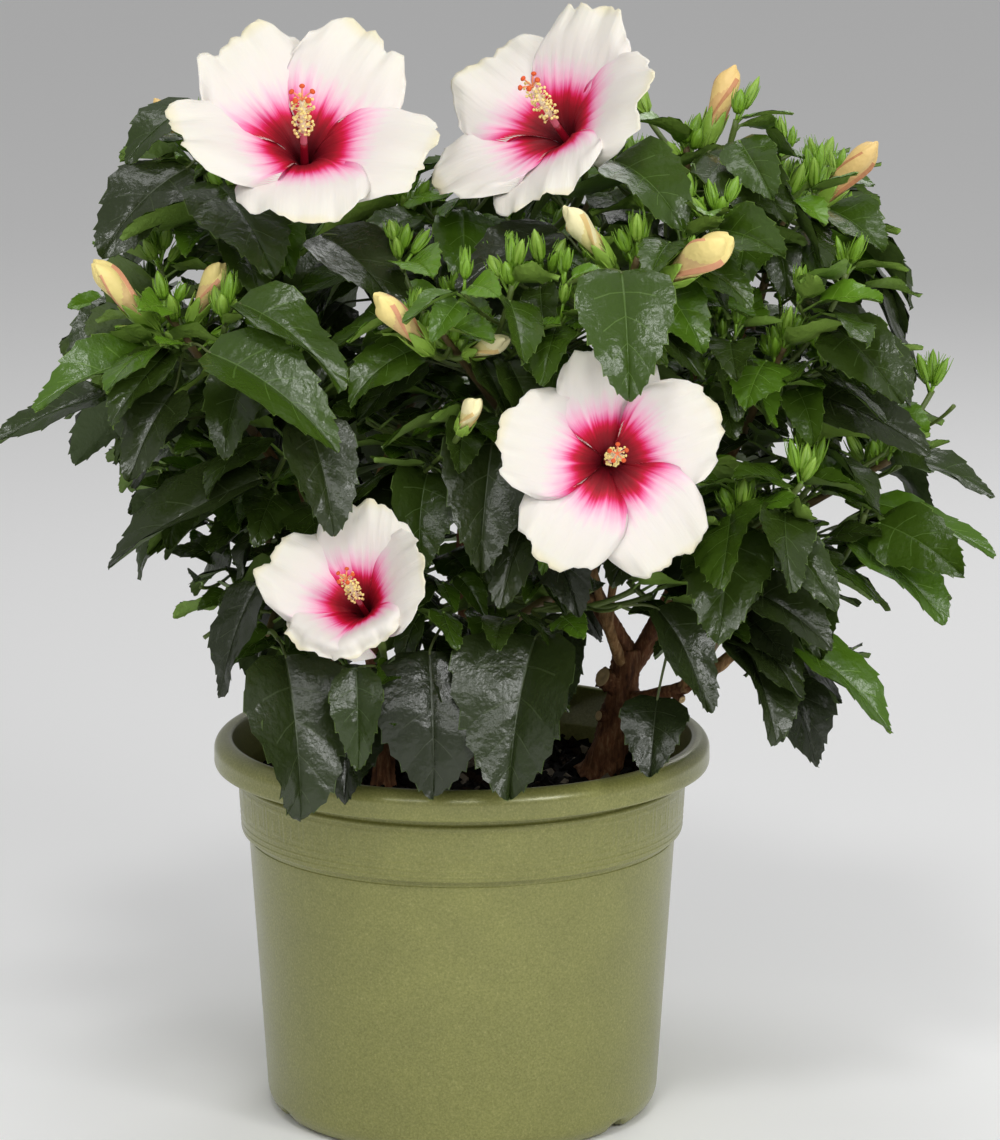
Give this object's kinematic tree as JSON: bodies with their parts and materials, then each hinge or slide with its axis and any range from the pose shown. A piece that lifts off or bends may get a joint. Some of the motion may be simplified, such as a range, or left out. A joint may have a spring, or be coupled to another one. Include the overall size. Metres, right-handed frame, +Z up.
{
  "type": "potted hibiscus shrub",
  "caption": "Rounded hibiscus shrub with woody stems, toothed glossy leaves, furled buds and wide open blooms, growing in a round tapered plastic pot.",
  "frame": {"origin": "centre of the pot's flat underside, on the surface the plant stands on", "axes": "+Z up along the pot's axis, -Y towards the plant's best side, +X to the right as seen from that side"},
  "size_m": [0.4857, 0.399, 0.5723],
  "materials": {
    "pot_plastic": "satin olive green with a fine metallic speckle",
    "potting_mix": "dark, crumbly and damp",
    "bark": "rough red-brown bark",
    "leaf": "glossy deep green",
    "petal": "soft creamy white with a pink and crimson eye"
  },
  "bodies": {
    "root": {"pot": "pot_plastic", "potting_mix": "potting_mix", "trunk": "bark", "stem_left": "bark", "stem_thin": "bark", "stem_back": "bark", "limb_centre": "bark", "limb_right": "bark", "limb_low": "bark", "bough_left_front": "bark", "bough_upper_left": "bark", "bough_upper_centre": "bark", "bough_centre": "bark", "bough_centre_right": "bark", "bough_top_right": "bark", "bough_right_shoulder": "bark", "bough_right_middle": "bark", "bough_far_right": "bark", "bough_far_right_low": "bark", "bough_right_lower": "bark", "bough_low_right": "bark", "bough_low_centre": "bark", "bough_middle": "bark", "bough_low_left_front": "bark", "bough_left_lower": "bark", "bough_left_hang": "bark", "bough_heart": "bark", "bough_back_left": "bark", "bough_back_left_top": "bark", "bough_back_right_top": "bark", "bough_back_right": "bark", "bough_back_low": "bark", "bloom_left": "petal", "bloom_top": "petal", "bloom_right": "petal", "bloom_low": "petal", "mass_left_front": "leaf", "mass_upper_left": "leaf", "mass_upper_centre": "leaf", "mass_centre": "leaf", "mass_centre_right": "leaf", "mass_top_right": "leaf", "mass_right_shoulder": "leaf", "mass_right_middle": "leaf", "mass_far_right": "leaf", "mass_far_right_low": "leaf", "mass_right_lower": "leaf", "mass_low_right": "leaf", "mass_low_centre": "leaf", "mass_middle": "leaf", "mass_low_left_front": "leaf", "mass_left_lower": "leaf", "mass_left_hang": "leaf", "mass_heart": "leaf", "mass_back_left": "leaf", "mass_back_left_top": "leaf", "mass_back_right_top": "leaf", "mass_back_right": "leaf", "mass_back_low": "leaf"}
  },
  "joints": []
}
